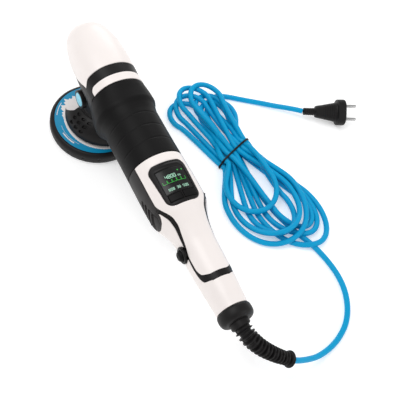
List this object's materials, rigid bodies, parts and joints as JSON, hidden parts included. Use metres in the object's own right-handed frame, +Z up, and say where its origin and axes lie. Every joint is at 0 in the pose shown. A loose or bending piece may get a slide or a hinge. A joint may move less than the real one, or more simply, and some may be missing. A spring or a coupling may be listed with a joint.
{
  "type": "dual action polisher",
  "caption": "Corded dual action polisher with display, backing plate on an offset spindle, trigger with lock button, and a tied hank of cord with a two-pin plug.",
  "frame": {"origin": "centre of the backing plate's hook face, on the surface that the machine stands on", "axes": "+X to the nose, -X to the handle and the cord, +Z up from the hook face through the head"},
  "size_m": [0.5055, 0.4293, 0.1322],
  "materials": {
    "white_plastic": "satin moulded",
    "black_plastic": "fine grain",
    "soft_rubber": "soft matt",
    "hard_rubber": "matt",
    "blue_plastic": "satin",
    "blue_label": "printed film",
    "cord_blue": "smooth PVC",
    "screen": "glossy",
    "circuit_board": "lacquered",
    "hook_face": "hook",
    "steel": "ground",
    "bright_steel": "polished",
    "aluminium": "turned",
    "copper": "wound wire",
    "carbon": "pressed carbon"
  },
  "bodies": {
    "machine": {"head_cover": "white_plastic", "gear_housing": "black_plastic", "head_stripe": "white_plastic", "boss_cap_left": "blue_plastic", "boss_cap_right": "blue_plastic", "shroud": "black_plastic", "front_grip": "soft_rubber", "motor_casing": "black_plastic", "rear_casing_left": "black_plastic", "rear_casing_right": "black_plastic", "upper_shell": "white_plastic", "trim_strip": "black_plastic", "handle_body": "white_plastic", "end_cap": "hard_rubber", "display_bezel": "black_plastic", "display_lens": "screen", "display_board": "circuit_board", "trigger_pin": "steel", "lock_bezel": "black_plastic", "switch_body": "black_plastic", "capacitor": "aluminium", "field_stator": "steel", "front_bearing": "bright_steel", "rear_bearing": "bright_steel", "rear_bearing_seat": "black_plastic", "brush_holder_left": "bright_steel", "brush_holder_right": "bright_steel", "carbon_brush_left": "carbon", "carbon_brush_right": "carbon", "spindle_top_bearing": "bright_steel", "spindle_main_bearing": "bright_steel", "strain_relief": "hard_rubber", "cord_lead": "cord_blue", "cord_hank": "cord_blue", "cable_tie": "hard_rubber", "cord_tail": "cord_blue", "plug_body": "hard_rubber", "plug_pin_left": "bright_steel", "plug_pin_right": "bright_steel"},
    "drive_spindle": {"spindle": "steel", "crown_gear": "steel", "eccentric": "steel", "plate_bearing": "bright_steel"},
    "armature": {"motor_shaft": "steel", "armature_core": "copper", "commutator": "copper", "cooling_fan": "black_plastic", "pinion": "steel"},
    "plate": {"plate_hub": "aluminium", "backing_plate": "hard_rubber", "plate_label": "blue_label", "hook_disc": "hook_face"},
    "trigger_lever": {"trigger": "soft_rubber"},
    "lock": {"lock_button": "soft_rubber"},
    "speed_up": {"speed_button_left": "soft_rubber"},
    "speed_down": {"speed_button_right": "soft_rubber"}
  },
  "joints": [
    {"name": "spindle_spin", "type": "hinge", "parent": "machine", "child": "drive_spindle", "pos_m": [0, -0.0105, 0.06], "axis": [0, 0, 1], "continuous": true},
    {"name": "motor_spin", "type": "hinge", "parent": "machine", "child": "armature", "pos_m": [-0.09, -0.0105, 0.088], "axis": [1, 0, 0], "continuous": true},
    {"name": "plate_spin", "type": "hinge", "parent": "drive_spindle", "child": "plate", "pos_m": [0, 0, 0.034], "axis": [0, 0, 1], "continuous": true},
    {"name": "trigger_squeeze", "type": "hinge", "parent": "machine", "child": "trigger_lever", "pos_m": [-0.289, -0.0105, 0.068], "axis": [0, -1, 0], "range_deg": [0, 8], "stiffness_Nm_per_rad": 0.6, "springref_deg": -20.05},
    {"name": "lock_press", "type": "slide", "parent": "machine", "child": "lock", "axis": [0, -1, 0], "range_m": [0, 0.003], "stiffness_N_per_m": 400, "springref_m": -0.002},
    {"name": "speed_up_press", "type": "slide", "parent": "machine", "child": "speed_up", "axis": [0, 0, -1], "range_m": [0, 0.0008], "stiffness_N_per_m": 800, "springref_m": -0.001},
    {"name": "speed_down_press", "type": "slide", "parent": "machine", "child": "speed_down", "axis": [0, 0, -1], "range_m": [0, 0.0008], "stiffness_N_per_m": 800, "springref_m": -0.001}
  ],
  "couplings": [
    {"joint": "motor_spin", "follows": "spindle_spin", "ratio": -4}
  ]
}
